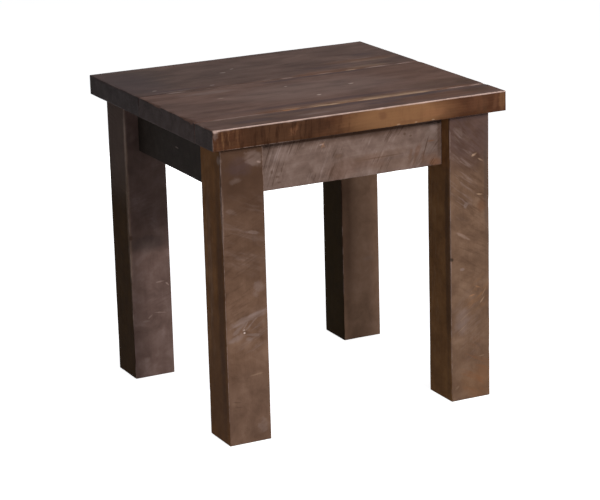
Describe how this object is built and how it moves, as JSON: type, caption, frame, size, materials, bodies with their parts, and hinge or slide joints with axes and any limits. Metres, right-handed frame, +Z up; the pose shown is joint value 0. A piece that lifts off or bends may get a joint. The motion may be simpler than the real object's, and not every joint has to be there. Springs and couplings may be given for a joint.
{
  "type": "end table",
  "caption": "Low rustic end table with a thick plank top on square posts, joined by recessed aprons, for a lamp, cup or book beside a seat.",
  "frame": {"origin": "on the floor, under the centre of the top's bounding box", "axes": "+Z up, +X to the right along the planks, -Y towards the front edge with the narrow plank"},
  "size_m": [0.61, 0.58, 0.61],
  "materials": {
    "stained_top": "dark walnut stain under a satin coat, rubbed through to lighter wood along seams and arrises",
    "stained_frame": "same stain over coarse sawn faces, with saw marks, knots and worn arrises",
    "bare_wood": "planed hardwood, unfinished, inside the frame",
    "screw_steel": "zinc-plated screw steel"
  },
  "bodies": {
    "root": {"top_plank_front": "stained_top", "top_plank_middle": "stained_top", "top_plank_back": "stained_top", "top_spline_front": "bare_wood", "top_spline_back": "bare_wood", "leg_front_left": "stained_frame", "leg_front_right": "stained_frame", "leg_back_left": "stained_frame", "leg_back_right": "stained_frame", "apron_front": "stained_frame", "apron_back": "stained_frame", "apron_left": "stained_frame", "apron_right": "stained_frame", "corner_brace_front_left": "bare_wood", "corner_brace_front_right": "bare_wood", "corner_brace_back_left": "bare_wood", "corner_brace_back_right": "bare_wood", "top_button_front_left": "bare_wood", "top_button_front_right": "bare_wood", "top_button_back_left": "bare_wood", "top_button_back_right": "bare_wood", "top_button_left_front": "bare_wood", "top_button_left_back": "bare_wood", "top_button_right_front": "bare_wood", "top_button_right_back": "bare_wood", "brace_screws": "screw_steel", "button_screws": "screw_steel"}
  },
  "joints": []
}
